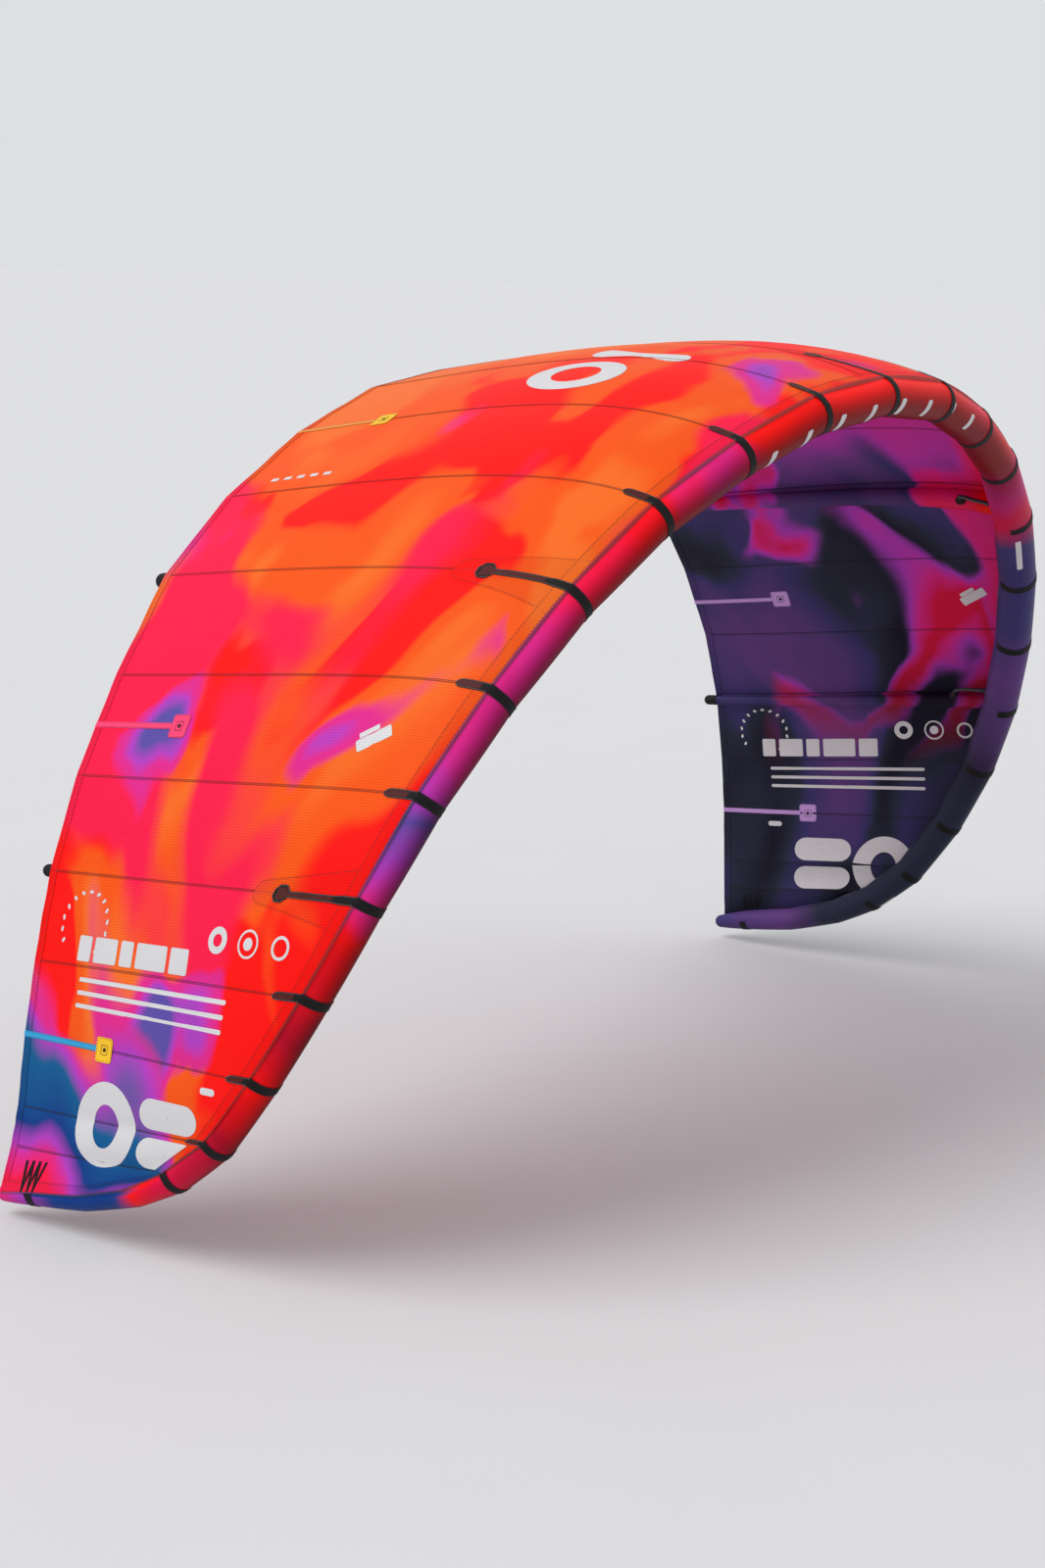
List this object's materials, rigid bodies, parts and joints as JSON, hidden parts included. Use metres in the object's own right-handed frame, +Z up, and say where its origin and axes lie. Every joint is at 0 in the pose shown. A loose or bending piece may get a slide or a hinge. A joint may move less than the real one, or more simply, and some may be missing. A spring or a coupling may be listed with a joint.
{
  "type": "inflatable kitesurfing kite",
  "caption": "Arched inflatable kite for kitesurfing: a fat tapering tube along the front edge, a cambered printed canopy, slim air struts and black seam tapes.",
  "frame": {"origin": "on the axis of the front tube, at mid span", "axes": "+X across the span, +Y from the front tube back to the trailing edge, +Z up, away from the hollow of the arch"},
  "size_m": [3.8216, 1.6258, 2.247],
  "materials": {
    "tube_cloth": "tightly woven polyester with a soft satin sheen, printed in clouds of red, magenta and violet",
    "canopy_cloth": "thin ripstop cloth with a fine grid, printed in clouds of orange, red, magenta, violet and blue that show through",
    "strut_cloth": "printed polyester, satin",
    "seam_tape": "black woven tape, matt, stitched along both edges",
    "end_sleeve": "black cloth, matt",
    "hose": "black rubber, satin",
    "batten_pocket": "sewn cloth pocket, slightly sheer",
    "webbing": "black narrow webbing, coarse weave"
  },
  "bodies": {
    "root": {"leading_edge": "tube_cloth", "canopy": "canopy_cloth", "seam_tape_left_1": "seam_tape", "seam_tape_left_2": "seam_tape", "seam_tape_left_3": "seam_tape", "seam_tape_left_4": "seam_tape", "seam_tape_left_5": "seam_tape", "seam_tape_left_6": "seam_tape", "seam_tape_left_7": "seam_tape", "seam_tape_left_8": "seam_tape", "seam_tape_left_9": "seam_tape", "seam_tape_left_10": "seam_tape", "seam_tape_left_11": "seam_tape", "seam_tape_right_1": "seam_tape", "seam_tape_right_2": "seam_tape", "seam_tape_right_3": "seam_tape", "seam_tape_right_4": "seam_tape", "seam_tape_right_5": "seam_tape", "seam_tape_right_6": "seam_tape", "seam_tape_right_7": "seam_tape", "seam_tape_right_8": "seam_tape", "seam_tape_right_9": "seam_tape", "seam_tape_right_10": "seam_tape", "seam_tape_right_11": "seam_tape", "seam_tape_centre": "seam_tape", "seam_tape_left_tip": "seam_tape", "seam_tape_right_tip": "seam_tape", "strut_outer_left": "strut_cloth", "strut_inner_left": "strut_cloth", "strut_centre": "strut_cloth", "strut_inner_right": "strut_cloth", "strut_outer_right": "strut_cloth", "strut_cap_outer_left": "end_sleeve", "strut_cap_inner_left": "end_sleeve", "strut_cap_centre": "end_sleeve", "strut_cap_inner_right": "end_sleeve", "strut_cap_outer_right": "end_sleeve", "hose_outer_left": "hose", "hose_inner_left": "hose", "hose_centre": "hose", "hose_inner_right": "hose", "hose_outer_right": "hose", "batten_inner_left": "batten_pocket", "batten_inner_right": "batten_pocket", "batten_middle_left": "batten_pocket", "batten_middle_right": "batten_pocket", "batten_outer_left": "batten_pocket", "batten_outer_right": "batten_pocket", "tip_webbing_outside_left": "webbing", "tip_webbing_outside_right": "webbing", "tip_webbing_inside_left": "webbing", "tip_webbing_inside_right": "webbing"}
  },
  "joints": []
}
